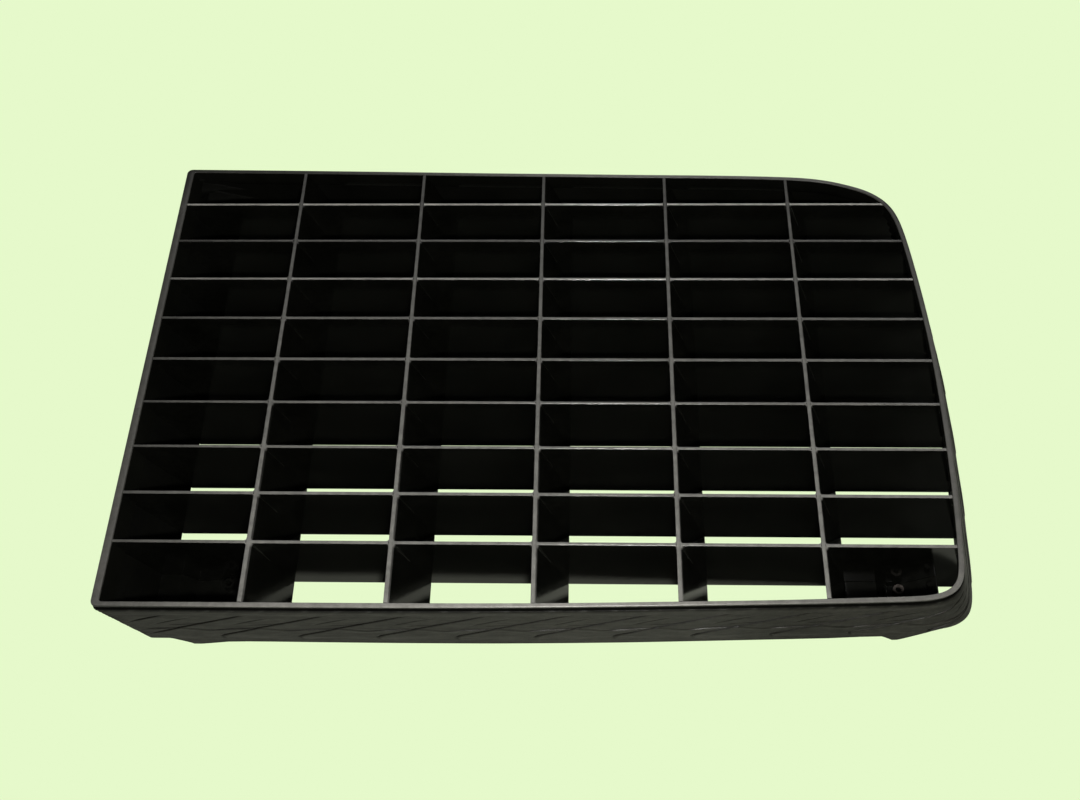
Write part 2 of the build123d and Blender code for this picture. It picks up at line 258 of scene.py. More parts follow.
def grid_mesh(name, grid, closed=True, angle=32, values=None):
    """grid is [column, row, 3] in metres; rows wrap round, and columns too when closed."""
    columns, rows, _ = grid.shape
    index = np.arange(columns * rows).reshape(columns, rows)
    near, far = (index, np.roll(index, -1, 0)) if closed else (index[:-1], index[1:])
    quads = np.stack([near, np.roll(near, -1, 1), np.roll(far, -1, 1), far], -1)
    faces = quads.reshape(-1, 4).tolist()
    if not closed:
        faces += [index[0][::-1].tolist(), index[-1].tolist()]
    mesh = bpy.data.meshes.new(name)
    mesh.from_pydata(grid.reshape(-1, 3).tolist(), [], faces)
    for key, value in (values or {}).items():
        attribute = mesh.attributes.new(key, "FLOAT", "POINT")
        attribute.data.foreach_set("value", value.reshape(-1).astype(np.float32))
    obj = link(bpy.data.objects.new(name, mesh))
    tidy(obj, angle)
    return obj


def join_into(obj, others):
    bm = bmesh.new()
    bm.from_mesh(obj.data)
    for other in others:
        bm.from_mesh(other.data)
    bm.to_mesh(obj.data)
    bm.free()
    for other in others:
        bpy.data.objects.remove(other)
    shade(obj.data, 32)
    return obj


def smoothstep(low, high, value):
    t = np.clip((value - low) / (high - low), 0, 1)
    return t * t * (3 - 2 * t)


def bell(offset, width):
    return np.exp(-(offset / width) ** 2)


# ------------------------------------------------------------------ the rim
RIM_COLUMNS = 1300
# Cross-section, down from inside, over the flange and round the neck:
# skin, depth, outward offset.
RIM_SECTION = [
    (NECK_IN, 9.0, 0.0), (NECK_IN, 4.0, 0.0), (NECK_IN, 1.2, 0.0), (NECK_IN, 0.65, 0.0),
    (NECK_IN, 0.35, 0.1), (NECK_IN, 0.1, 0.35), (NECK_IN, 0.0, 0.75),
    (RIM_OUT, 0.0, -1.0), (RIM_OUT, 0.12, -0.45), (RIM_OUT, 0.45, -0.12),
    (RIM_OUT, 1.0, 0.0), (RIM_OUT, 1.75, 0.0), (RIM_OUT, 2.08, -0.12),
    (RIM_OUT, FLANGE_T, -0.45),
    (NECK_OUT, FLANGE_T, 0.35), (NECK_OUT, 2.3, 0.1), (NECK_OUT, 2.6, 0.0),
    (NECK_OUT, CASING_TOP, 0.0), (NECK_OUT, 10.7, 0.0), (NECK_OUT, 13.7, 0.0),
    (NECK_OUT, NECK_DEPTH, -0.3), (NECK_IN, NECK_DEPTH, 0.3), (NECK_IN, 13.7, 0.0),
]


def rim_shade(skin, depth):
    """How much painted shade a row gets, 0 to 1: the neck's faces within the rim, the neck's
    outside in the gap under the flange, and the flange's lower outer face.
    """
    if skin is RIM_OUT:
        return min(max((depth - 0.6) / 0.9, 0.0), 1.0)
    return 1.0 if skin is NECK_OUT or depth > 0.7 else 0.0


def make_rim():
    index = ring_index(np.linspace(0, PERIMETER, RIM_COLUMNS, endpoint=False))
    normal = RIM_OUT.normal(index, np.zeros(RIM_COLUMNS))
    rows, painted_shade = [], []
    for skin, depth, outset in RIM_SECTION:
        level = np.full(RIM_COLUMNS, depth)
        p = skin.at(index, level) + outset * normal
        rows.append(place(p[:, 0], p[:, 1], level))
        painted_shade.append(np.full(RIM_COLUMNS, rim_shade(skin, depth)))
    return grid_mesh("rim_ring", np.stack(rows, 1), angle=50,
                     values={"painted_shade": np.stack(painted_shade, 1)})


# --------------------------------------------------------------- the casing
WAVES = 35                  # repeats of the relief round the wall
PERIOD = PERIMETER / WAVES
SHEAR = 3.1                 # distance along the wall per mm of height
SHEAR_DEPTH = 33.0          # where the slanted columns have no shift
GROOVE_PHASE = 0.33         # part of a period by which the long grooves are advanced
SHORT_PHASE = 0.46          # from a long groove to the short one after it
# Mesh columns beside the even ones, as distances from each groove.
LONG_COLUMNS = (-3.2, -2.4, -1.7, -1.1, -0.55, 0, 0.55, 1.1, 1.7, 2.4, 3.2)
SHORT_COLUMNS = (-1.8, -0.9, 0, 0.9, 1.8)
EVEN_COLUMNS, MIN_GAP = 1015, 0.45
# Mesh rows: parts of the way down to the crease, mm below it, parts of the way to the edge.
ABOVE_CREASE = (0.1, 0.2, 0.27, 0.34, 0.42, 0.5, 0.58, 0.66, 0.71, 0.738, 0.752, 0.762, 0.77,
                0.778, 0.788, 0.802, 0.83, 0.88, 0.93, 0.955, 0.97, 0.982, 0.992)
BELOW_CREASE = (0.0, 0.25, 0.5, 0.8, 1.1, 1.5, 2.0, 2.8)
ABOVE_EDGE = (0.18, 0.36, 0.52, 0.66, 0.8, 0.9, 1.0)


def profile_depth(distance):
    """Depth of the wall's bottom edge at a distance along the wall."""
    index = ring_index(distance)
    p = CASING_OUT.at(index, np.full(index.shape, 50.0))
    x, y = p[..., 0], p[..., 1]
    side = np.where(x < 0, LEFT_EDGE, RIGHT_EDGE)
    edge = np.where(y < -170, np.interp(x, *np.array(FRONT_PROFILE).T), side)
    return np.where(y > 150, np.interp(x, *np.array(REAR_PROFILE).T), edge)


def slide(column, depth):
    """Distance along the wall of a slanted column at a depth."""
    return column + SHEAR * (SHEAR_DEPTH - np.minimum(depth, RIGHT_EDGE))


def crease_depth(distance):
    """Wavy line round the wall at mid height."""
    t = 2 * np.pi * distance / PERIOD
    return 33.6 + 1.5 * np.sin(t + 0.6) + 0.5 * np.sin(2 * t + 1.0)


def groove_phase(column, shift):
    """Phase after the groove, and mm to the nearest one."""
    phase = np.mod(column / PERIOD + GROOVE_PHASE - shift, 1.0)
    return phase, np.minimum(phase, 1.0 - phase) * PERIOD


def relief(column, depth, distance, crease):
    """Height of the moulded relief in mm, and how much painted shade its cuts get."""
    below = depth - crease
    phase, near = groove_phase(column, 0.0)
    run = smoothstep(12.0, 17.0, depth) * (1 - smoothstep(44.0, 48.0, depth))
    ledge = 0.34 * (1.0 - phase) * smoothstep(0.0, 0.045, phase)
    groove = bell(near, 1.25)
    # a second, shorter cut between the long ones, above the crease
    _, near = groove_phase(column, SHORT_PHASE)
    extent = smoothstep(17.0, 19.0, depth) * (1 - smoothstep(24.0, 27.0, depth))
    short_groove = bell(near, 1.1) * extent
    swell = 0.5 + 0.5 * np.sin(2 * np.pi * distance / PERIOD - 0.9)
    step = (0.16 + 0.26 * swell) * smoothstep(-0.05, 0.45, below) \
        * (1 - smoothstep(44.0, 49.0, depth))
    lip = 0.14 * bell(below - 1.1, 0.7)
    cut = bell(below + 0.35, 0.42) * (0.25 + 0.75 * swell)
    upper = bell(below + 6.4, 0.42) * smoothstep(0.35, 0.8, 1.0 - swell)
    # the relief dies out at the shoulder and at the two square corners
    corner = np.minimum.reduce([np.mod(d, PERIMETER) for d in (
        distance, REAR_LEFT - distance, -distance, distance - REAR_LEFT)])
    fade = smoothstep(9.5, 13.0, depth) * smoothstep(9.0, 26.0, corner)
    height = ((ledge - 0.85 * groove) * run - 0.5 * short_groove + step + lip - 0.3 * cut
              - 0.3 * upper - 0.38) * fade
    # painted shade: darker in the long and short grooves, the crease cut and the upper line
    cut_shade = 1.15 * groove * run + 0.8 * short_groove + 0.6 * cut + 0.6 * upper
    return height, np.clip(cut_shade, 0, 1) * fade


def wall_columns():
    """Even columns plus close ones at the grooves, thinned to a least gap."""
    extra = []
    for w in range(WAVES):
        middle = (w + 1 - GROOVE_PHASE) * PERIOD
        extra += [middle + d for d in LONG_COLUMNS]
        middle = (w + 1 - GROOVE_PHASE + SHORT_PHASE) * PERIOD
        extra += [middle + d for d in SHORT_COLUMNS]
    even = np.linspace(0, PERIMETER, EVEN_COLUMNS, endpoint=False)
    columns = np.unique(np.round(np.mod(np.concatenate([even, extra]), PERIMETER), 3))
    keep = [0]
    for i in range(1, len(columns)):
        if columns[i] - columns[keep[-1]] > MIN_GAP:
            keep.append(i)
    return columns[keep]


def make_skirt():
    columns = wall_columns()
    count = len(columns)
    # the slant makes both depths depend on themselves, so they are iterated
    bottom = np.full(count, 50.0)
    for _ in range(3):
        bottom = profile_depth(slide(columns, bottom))
    crease = np.full(count, 33.0)
    for _ in range(14):
        crease = crease_depth(slide(columns, crease))
    rows, cuts, painted_shade = [], [], []

    def add(skin, depth, outset=0.0, shaped=False):
        distance = slide(columns, depth)
        index = ring_index(distance)
        normal = CASING_OUT.normal(index, depth)
        p = skin.at(index, depth) + outset * normal
        cut = np.zeros(count)
        if shaped:
            height, cut = relief(columns, depth, distance, crease)
            p = p + height[:, None] * normal
        elif skin is CASING_OUT and depth[0] < 7.2:      # patchy shade at the shoulder
            patches = np.sin(distance / 2.3) * np.sin(distance / 5.9 + 1.0)
            cut = 0.7 - 0.6 * smoothstep(0.3, 0.8, patches)
        rows.append(place(p[:, 0], p[:, 1], depth))
        cuts.append(cut)
        # the casing's inward-facing faces and its shoulder top under the flange get painted shade
        hidden = skin is CASING_IN or (outset < -0.5 and depth[0] < 6)
        painted_shade.append(np.full(count, 1.0 if hidden else 0.0))

    top = np.full(count, CASING_TOP)
    inside_top = top + 6.0
    add(CASING_IN, inside_top)
    add(CASING_IN, top + 0.4)
    add(CASING_IN, top, 0.4)
    for drop, outset in ((0.0, -1.1), (0.14, -0.55), (0.45, -0.18), (1.0, 0.0)):
        add(CASING_OUT, top + drop, outset)
    start = top + 1.0
    for part in ABOVE_CREASE:
        add(CASING_OUT, start + (crease - start) * part, shaped=True)
    for drop in BELOW_CREASE:
        add(CASING_OUT, crease + drop, shaped=True)
    start, end = crease + BELOW_CREASE[-1], bottom - 0.8
    for part in ABOVE_EDGE:
        add(CASING_OUT, start + (end - start) * part, shaped=True)
    add(CASING_OUT, bottom - 0.25, -0.23)
    add(CASING_OUT, bottom, -0.75)
    add(CASING_IN, bottom, 0.5)
    add(CASING_IN, bottom - 0.5)
    for part in (0.25, 0.5, 0.75):
        add(CASING_IN, bottom - 0.5 + (inside_top - bottom + 0.5) * part)
    return grid_mesh("casing_skirt", np.stack(rows, 1), angle=42,
                     values={"cut": np.stack(cuts, 1), "painted_shade": np.stack(painted_shade, 1)})


LIP_WIDTH, LIP_TOP, LIP_ROUND = 9.4, 40.9, 0.35
LIP_MIDDLE = 42.0           # depth at which the lip's run is found
LIP_STEP = 1.5


def make_return_lip():
    """Inward lip along the bottom of the right wall."""
    lip_edge = Skin([30.0, RIGHT_EDGE, 50.0], (0.0, 0.0, LIP_WIDTH - SHOULDER, 0.0),
                    CASING_LEAN, CASING_TOP, CORNER_R)
    distance = np.arange(0, PERIMETER, LIP_STEP)
    x, y = CASING_OUT.at(ring_index(distance), np.array([LIP_MIDDLE])).T
    index = ring_index(distance[(x > 270) & (y > -163) & (y < 123)])
    count = len(index)
    normal = CASING_OUT.normal(index, np.full(count, LIP_MIDDLE))
    rows = []
    for skin, depth, outset in ((lip_edge, LIP_TOP, -LIP_ROUND),
                                (lip_edge, LIP_TOP + LIP_ROUND, 0),
                                (lip_edge, RIGHT_EDGE - LIP_ROUND, 0),
                                (lip_edge, RIGHT_EDGE, -LIP_ROUND),
                                (CASING_IN, RIGHT_EDGE, 0.6), (CASING_IN, LIP_TOP, 0.6)):
        level = np.full(count, depth)
        p = skin.at(index, level) + outset * normal
        rows.append(place(p[:, 0], p[:, 1], level))
    return grid_mesh("return_lip", np.stack(rows, 1), closed=False)


# Screw lugs inside the front and rear walls: X, side (-1 front, 1 rear), wall Y, bottom depth.
LUGS = [
    (-198.0, -1, -208.5, 50.9), (233.5, -1, -199.5, 48.9),
    (-198.0, 1, 195.0, 50.9), (231.0, 1, 183.0, 48.9),
]
LUG_WIDTH, LUG_REACH, LUG_TOP, LUG_ROUND = 11.0, 12.0, 36.0, 0.8
LUG_TAPER = 0.06            # part of the width lost at the bottom


def make_lug(x, side, wall_y, bottom):
    inner_y = wall_y - side * LUG_REACH
    outer_y = wall_y + side * (1.0 if x < 0 else 0.5)
    height = bottom - LUG_TOP
    bm = bmesh.new()
    bmesh.ops.create_cube(bm, size=1.0)
    size = (LUG_WIDTH / 1000, abs(outer_y - inner_y) / 1000, height / 1000)
    bmesh.ops.scale(bm, vec=size, verts=bm.verts)
    bmesh.ops.bevel(bm, geom=bm.edges[:], offset=LUG_ROUND / 1000, segments=3, affect="EDGES")
    for v in bm.verts:
        rise = (v.co.z * 1000 + height / 2) / height
        v.co.x *= 1 - LUG_TAPER + LUG_TAPER * rise
    middle = place(x, (inner_y + outer_y) / 2, (LUG_TOP + bottom) / 2)
    bmesh.ops.translate(bm, vec=Vector(middle), verts=bm.verts)
    mesh = bpy.data.meshes.new("lug")
    bm.to_mesh(mesh)
    bm.free()
    return link(bpy.data.objects.new("lug", mesh))


def make_casing():
    skirt = make_skirt()
    lip = make_return_lip()
    return join_into(skirt, [lip] + [make_lug(*lug) for lug in LUGS])


# ------------------------------------------------- fillets at the crossings
# Depth and radius of each level of a fillet.
FILLET_LEVELS = [(0.35, 1.5), (0.9, 2.4), (3.0, 2.3), (8.0, 1.7), (16.0, 1.0), (25.0, 0.5)]
FILLET_STEPS = 5
FILLET_SINK = 0.5           # how far a fillet reaches into the rib and the vane


def fillet_loop(r):
    """Plan of one fillet, its corner at the origin."""
    loop = [(-FILLET_SINK, -FILLET_SINK), (r, -FILLET_SINK)]
    for i in range(FILLET_STEPS + 1):
        a = math.pi / 2 * i / FILLET_STEPS
        loop.append((r - r * math.sin(a), r - r * math.cos(a)))
    return loop + [(-FILLET_SINK, r)]


def make_fillets():
    """Small moulded webs that round the inside corners where ribs and vanes meet."""
    corners = [(x, y, side_x, side_y) for x in RIB_X for y in VANE_Y
               for side_x in (-1, 1) for side_y in (-1, 1)]
    verts, faces = [], []
    for rib_x, vane_y, side_x, side_y in corners:
        base = len(verts)
        for depth, radius in FILLET_LEVELS:
            x = rib_x + side_x * RIB_T / 2 + RIB_LEAN * depth
            y = vane_y + side_y * VANE_T / 2
            loop = fillet_loop(radius)
            verts += [tuple(place(x + side_x * u, y + side_y * v, depth)) for u, v in loop]
        n = len(loop)
        last = base + (len(FILLET_LEVELS) - 1) * n
        for start in range(base, last, n):
            for i in range(n):
                a, b = start + i, start + (i + 1) % n
                faces.append((a, b, b + n, a + n))
        faces.append(tuple(range(base, base + n))[::-1])
        faces.append(tuple(range(last, last + n)))
    mesh = bpy.data.meshes.new("crossing_fillets")
    mesh.from_pydata(verts, [], faces)
    obj = link(bpy.data.objects.new("crossing_fillets", mesh))
    tidy(obj, 40)
    return obj


# ------------------------------------------------------------- node helpers
class Graph:
    """Adds nodes to a tree; every value may be a socket to link or a plain value."""

    def __init__(self, tree):
        self.tree = tree

    def feed(self, socket, value):
        if isinstance(value, bpy.types.NodeSocket):
            self.tree.links.new(value, socket)
        elif socket.type == "RGBA":
            socket.default_value = (*value, 1)
        else:
            socket.default_value = value

    def add(self, kind, inputs=None, **settings):
        node = self.tree.nodes.new(kind)
        for key, value in settings.items():
            setattr(node, key, value)
        for key, value in (inputs or {}).items():
            self.feed(node.inputs[key], value)
        return node

    def out(self, kind, inputs=None, **settings):
        """Adds a node and gives its first output."""
        return self.add(kind, inputs, **settings).outputs[0]

    def math(self, operation, *values, clamp=False):
        return self.out("ShaderNodeMath", dict(enumerate(values)), operation=operation,
                        use_clamp=clamp)

    def mul(self, a, b, clamp=False):
        return self.math("MULTIPLY", a, b, clamp=clamp)

    def sub(self, a, b, clamp=False):
        return self.math("SUBTRACT", a, b, clamp=clamp)

    def plus(self, a, b):
        return self.math("ADD", a, b)

    def fade(self, value, gain):
        """value * gain, held between 0 and 1."""
        return self.mul(value, gain, clamp=True)

    def noise(self, vector, scale, detail, rough, stretch=None):
        if stretch:
            vector = self.out("ShaderNodeMapping", {0: vector, "Scale": stretch})
        return self.add("ShaderNodeTexNoise", {"Scale": scale, "Detail": detail,
                        "Roughness": rough, "Vector": vector}).outputs["Fac"]

    def ramp(self, factor, stops):
        """stops are (position, grey or RGB)."""
        node = self.add("ShaderNodeValToRGB", {0: factor})
        elements = node.color_ramp.elements
        while len(elements) < len(stops):
            elements.new(0.5)
        for element, (position, c) in zip(elements, stops):
            element.position = position
            element.color = (c, c, c, 1) if isinstance(c, float) else (*c, 1)
        return node.outputs[0]

    def mix(self, factor, a, b, blend="MIX"):
        return self.add("ShaderNodeMix", {0: factor, 6: a, 7: b}, data_type="RGBA",
                        blend_type=blend).outputs[2]

    def tint(self, a, b):
        return self.mix(1.0, a, b, blend="MULTIPLY")

    def mix_value(self, factor, a, b):
        return self.out("ShaderNodeMix", {0: factor, 2: a, 3: b}, data_type="FLOAT")

    def mix_shader(self, factor, a, b):
        return self.out("ShaderNodeMixShader", {0: factor, 1: a, 2: b})

    def xyz(self, vector):
        return self.add("ShaderNodeSeparateXYZ", {0: vector}).outputs

    def bump(self, height, strength, distance, **more):
        return self.out("ShaderNodeBump", {"Strength": strength, "Distance": distance,
                                           "Height": height, **more})


def empty_graph(owner):
    owner.use_nodes = True
    owner.node_tree.nodes.clear()
    return Graph(owner.node_tree)


def new_material(name):
    material = bpy.data.materials.new(name)
    g = empty_graph(material)
    output = g.add("ShaderNodeOutputMaterial")
    surface = g.add("ShaderNodeBsdfPrincipled")
    g.feed(output.inputs[0], surface.outputs[0])
    return material, g, surface.inputs


def scaled(colour, factor):
    return tuple(c * factor for c in colour)


# ---------------------------------------------------------------- materials
# Positions in the materials are scene metres. Colours are the two tones plastic drifts between.
POLISHED = ((0.0026, 0.0028, 0.0020), (0.0052, 0.0054, 0.0042))
# painted shade tones for the inward-facing faces and the gap under the rim
PAINTED_SHADE_TONES = ((0.0028, 0.003, 0.0022), (0.0052, 0.0054, 0.0042))
# painted shade colour for the moulded cuts and the shoulder patches
CUT_SHADE_COLOUR = (0.0025, 0.0025, 0.002)


def drift(g, tone, tones):
    return g.mix(g.ramp(tone, [(0.35, 0.0), (0.68, 1.0)]), *tones)


def rim_painted_light(g, x, y):
    """Painted light on the rim's pale top, from left to right on the sides, rear and front:
    darker at the right end of the sides and front and at the left of the rear, with a painted
    highlight in the middle of the rear and front.
    """
    along = g.fade(g.plus(x, 0.31), gain=1 / 0.62)
    behind = g.fade(g.sub(y, 0.165), gain=1 / 0.03)
    ahead = g.fade(g.sub(-0.14, y), gain=1 / 0.04)
    sides = g.ramp(along, [(0.0, 1.0), (0.80, 1.0), (0.93, 0.55)])
    rear = g.ramp(along, [(0.0, 0.30), (0.17, 0.32), (0.57, 3.0), (0.9, 1.9)])
    front = g.ramp(along, [(0.0, 1.0), (0.26, 1.0), (0.47, 1.5), (0.66, 1.17), (0.84, 0.74),
                           (1.0, 0.66)])
    return g.mix(ahead, g.mix(behind, sides, rear), front)


def plastic(name, tones, wear_and_light, rough, top_rough, top_wear_and_light, edge_wear, grain=0.06, spec=0.5,
            mottle=1.0, cuts=False, lined=False, narrow=False):
    """Moulded black plastic: drifting tone, fine grain, scuffs, pale rubbed edges and painted
    light falloff on the pale tops.

    lined adds painted shade from the mesh's shade attribute and, without cuts, painted light
    along the rim; cuts adds painted shade from its "cut" attribute as well; narrow thins the pale
    band to a line, as for the painted vane highlights.
    """
    material, g, surface = new_material(name)
    local = g.add("ShaderNodeTexCoord").outputs["Object"]
    geometry = g.add("ShaderNodeNewGeometry").outputs
    tone = g.noise(local, scale=22.0, detail=5.0, rough=0.6)
    fine = g.noise(local, scale=900.0, detail=3.0, rough=0.6)
    medium = g.noise(local, scale=240.0, detail=4.0, rough=0.65)
    flow = g.noise(local, scale=60.0, detail=3.0, rough=0.5, stretch=(1.0, 1.0, 6.0))
    base = drift(g, tone, tones)
    base = g.tint(base, g.ramp(medium, [(0.42, 1.0 - 0.28 * mottle), (0.62, 1.0)]))

    # up-facing skin near the top plane is paled by scuffs, and a painted light falloff makes it
    # paler towards the front and right
    normal_z = g.xyz(geometry["Normal"])[2]
    x, y, z = g.xyz(geometry["Position"])
    forward = g.fade(g.sub(0.19, y), gain=1 / 0.39)
    rightward = g.fade(g.plus(x, 0.335), gain=1 / 0.14)
    light_falloff = g.mul(forward, rightward)
    # the pale band is narrower towards the rear and left, following the painted light falloff
    slope = 4.0 if narrow else 2.6
    start = 0.6 if narrow else g.sub(0.72, g.mul(light_falloff, 0.6), clamp=True)
    facing = g.math("SMOOTH_MAX", g.mul(g.sub(normal_z, start), slope), 0.0, clamp=True)
    high = g.fade(g.sub(z, (TOP - 3.0) / 1000), gain=700.0)
    top = g.mul(facing, high, clamp=True)
    patches = g.noise(local, scale=130.0, detail=5.0, rough=0.7)
    scuffed_and_lit = g.mul(top, g.ramp(patches, [(0.3, 0.55), (0.7, 1.0)]))
    scuffed_and_lit = g.mul(scuffed_and_lit, top_wear_and_light, clamp=True)

    # rubbed pale edges everywhere else, from the rounded-corner normal
    rounded = g.add("ShaderNodeBevel", {"Radius": 0.0007}, samples=4).outputs[0]
    dot = g.add("ShaderNodeVectorMath", {0: rounded, 1: geometry["Normal"]},
                operation="DOT_PRODUCT")
    edge = g.fade(g.sub(1.0, dot.outputs["Value"]), gain=3.0)
    edge = g.mul(edge, g.ramp(medium, [(0.4, 0.0), (0.6, edge_wear)]), clamp=True)
    base = g.mix(edge, base, scaled(wear_and_light, 0.75))
    # painted light falloff: the pale tops grow brighter towards the front and right
    pale = g.ramp(light_falloff, [(0.0, scaled(wear_and_light, 0.42)), (0.5, scaled(wear_and_light, 0.82)),
                            (1.0, scaled(wear_and_light, 1.3))])
    # painted highlight and painted falloff along the rim's pale top
    if lined and not cuts:
        pale = g.tint(pale, rim_painted_light(g, x, y))
    base = g.mix(scuffed_and_lit, base, pale)
    if lined:                     # painted shade on the faces within the neck and casing, in the gap under the rim and on the flange's outer face
        inside = g.add("ShaderNodeAttribute", attribute_name="painted_shade").outputs["Fac"]
        base = g.mix(inside, base, drift(g, tone, PAINTED_SHADE_TONES))
    if cuts:                      # painted shade darkens the moulded cuts, and the wall is darker towards the left
        cut = g.add("ShaderNodeAttribute", attribute_name="cut").outputs["Fac"]
        depth = g.mul(cut, 0.86, clamp=True)
        along = g.fade(g.plus(x, 0.31), gain=1 / 0.62)
        darker_left = g.ramp(along, [(0.0, 0.72), (0.3, 0.70), (0.52, 1.0), (1.0, 1.0)])
        base = g.mix(depth, g.tint(base, darker_left), CUT_SHADE_COLOUR)
        # cuts, inside faces and the right end shine less
        shine = g.sub(spec, g.mul(depth, spec * 0.9))
        shine = g.mul(shine, g.sub(1.0, g.mul(inside, 0.92)))
        right = g.fade(g.sub(x, 0.11), gain=1 / 0.06)
        spec = g.mul(shine, g.sub(1.0, g.mul(right, 0.6)))
    g.feed(surface["Specular IOR Level"], spec)
    g.feed(surface["Base Color"], base)

    roughness = g.ramp(flow, [(0.3, rough * 0.82), (0.7, rough * 1.25)])
    roughness = g.mix_value(top, roughness, top_rough)
    if lined:
        roughness = g.mix_value(inside, roughness, 0.6 if cuts else 0.16)
    g.feed(surface["Roughness"], roughness)
    grains = g.bump(g.plus(fine, g.mul(medium, 1.6)), strength=grain, distance=0.0004)
    waves = g.noise(local, scale=18.0, detail=2.0, rough=0.5)
    g.feed(surface["Normal"], g.bump(waves, strength=0.10, distance=0.0012, Normal=grains))
    return material


# The two posts of the right-hand plates, in mm: X, distance either side of Y = 0,
# radius of the painted light on their skin and the depth where it ends.
POST_X, POST_Y, POST_R, POST_DEPTH = 258.7, 168.5, 8.2, 49.6


def painted_light_posts(material):
    """Painted light on the two posts of the right-hand plates: their raised skin is paler."""
    g = Graph(material.node_tree)
    surface = next(n for n in g.tree.nodes if n.type == "BSDF_PRINCIPLED").inputs
    plate_colour = surface["Base Color"].links[0].from_socket
    position = g.add("ShaderNodeNewGeometry").outputs["Position"]
    x, y, z = g.xyz(position)
    dx = g.sub(x, (POST_X + ORIGIN_X) / 1000)
    dy = g.sub(g.math("ABSOLUTE", g.sub(y, ORIGIN_Y / 1000)), POST_Y / 1000)
    radius = g.math("SQRT", g.plus(g.mul(dx, dx), g.mul(dy, dy)))
    near = g.fade(g.sub(POST_R / 1000, radius), gain=900.0)
    raised = g.fade(g.sub(z, (TOP - POST_DEPTH) / 1000), gain=900.0)
    patches = g.noise(position, scale=260.0, detail=4.0, rough=0.6)
    mask = g.mul(g.mul(near, raised), g.ramp(patches, [(0.4, 0.35), (0.6, 1.0)]), clamp=True)
    # painted light: the posts' raised skin is paler
    g.feed(surface["Base Color"], g.mix(mask, plate_colour, (0.085, 0.073, 0.066)))


def steel(name):
    material, g, surface = new_material(name)
    local = g.add("ShaderNodeTexCoord").outputs["Object"]
    swirl = g.noise(local, scale=700.0, detail=4.0, rough=0.6, stretch=(1.0, 1.0, 0.2))
    blotch = g.noise(local, scale=160.0, detail=5.0, rough=0.7)
    stained = g.ramp(blotch, [(0.4, 0.0), (0.66, 1.0)])
    g.feed(surface["Base Color"], g.mix(stained, (0.42, 0.42, 0.40), (0.30, 0.29, 0.26)))
    g.feed(surface["Metallic"], 1.0)
    g.feed(surface["Roughness"], g.ramp(swirl, [(0.3, 0.24), (0.7, 0.48)]))
    g.feed(surface["Normal"], g.bump(swirl, strength=0.2, distance=0.0001))
    return material


CASING_PLASTIC = plastic(
    "casing_plastic", ((0.0175, 0.0172, 0.0125), (0.033, 0.0318, 0.025)),
    wear_and_light=(0.10, 0.097, 0.09), rough=0.42, top_rough=0.5, top_wear_and_light=0.25, edge_wear=0.1,
    grain=0.22, mottle=1.8, cuts=True, lined=True)
RIM_PLASTIC = plastic(
    "rim_plastic", ((0.034, 0.034, 0.029), (0.05, 0.049, 0.043)),
    wear_and_light=(0.23, 0.226, 0.208), rough=0.34, top_rough=0.27, top_wear_and_light=0.95, edge_wear=0.12,
    lined=True)
GLOSSY = dict(tones=POLISHED, rough=0.11, top_rough=0.22, top_wear_and_light=0.95, spec=0.62)
LATTICE_PLASTIC = plastic("lattice_plastic", wear_and_light=(0.235, 0.232, 0.214), edge_wear=0.06,
                          **GLOSSY)
# painted highlights: a pale line along the tops of vanes 1 and 3
BRIGHT_HIGHLIGHT_PLASTIC = plastic("lattice_plastic_painted_highlight", wear_and_light=(1.1, 1.09, 1.0), edge_wear=0.04,
                         narrow=True, **GLOSSY)
SOFT_HIGHLIGHT_PLASTIC = plastic("lattice_plastic_painted_highlight_soft", wear_and_light=(0.62, 0.61, 0.57), edge_wear=0.05,
                          narrow=True, **GLOSSY)
PLATE_PLASTIC = plastic(
    "plate_plastic", POLISHED, wear_and_light=(0.06, 0.058, 0.05), rough=0.34, top_rough=0.4,
    top_wear_and_light=0.3, edge_wear=0.12, spec=0.2)
painted_light_posts(PLATE_PLASTIC)
SCREW_STEEL = steel("screw_steel")


def paint(obj, material):
    obj.data.materials.clear()
    obj.data.materials.append(material)


# --------------------------------------------------------------- new pieces
rim = make_rim()
paint(rim, RIM_PLASTIC)
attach(rim, "root")
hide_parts("rim_frame")

casing = make_casing()
paint(casing, CASING_PLASTIC)
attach(casing, "root")
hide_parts("outer_casing")

fillets = make_fillets()
paint(fillets, LATTICE_PLASTIC)
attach(fillets, "root")


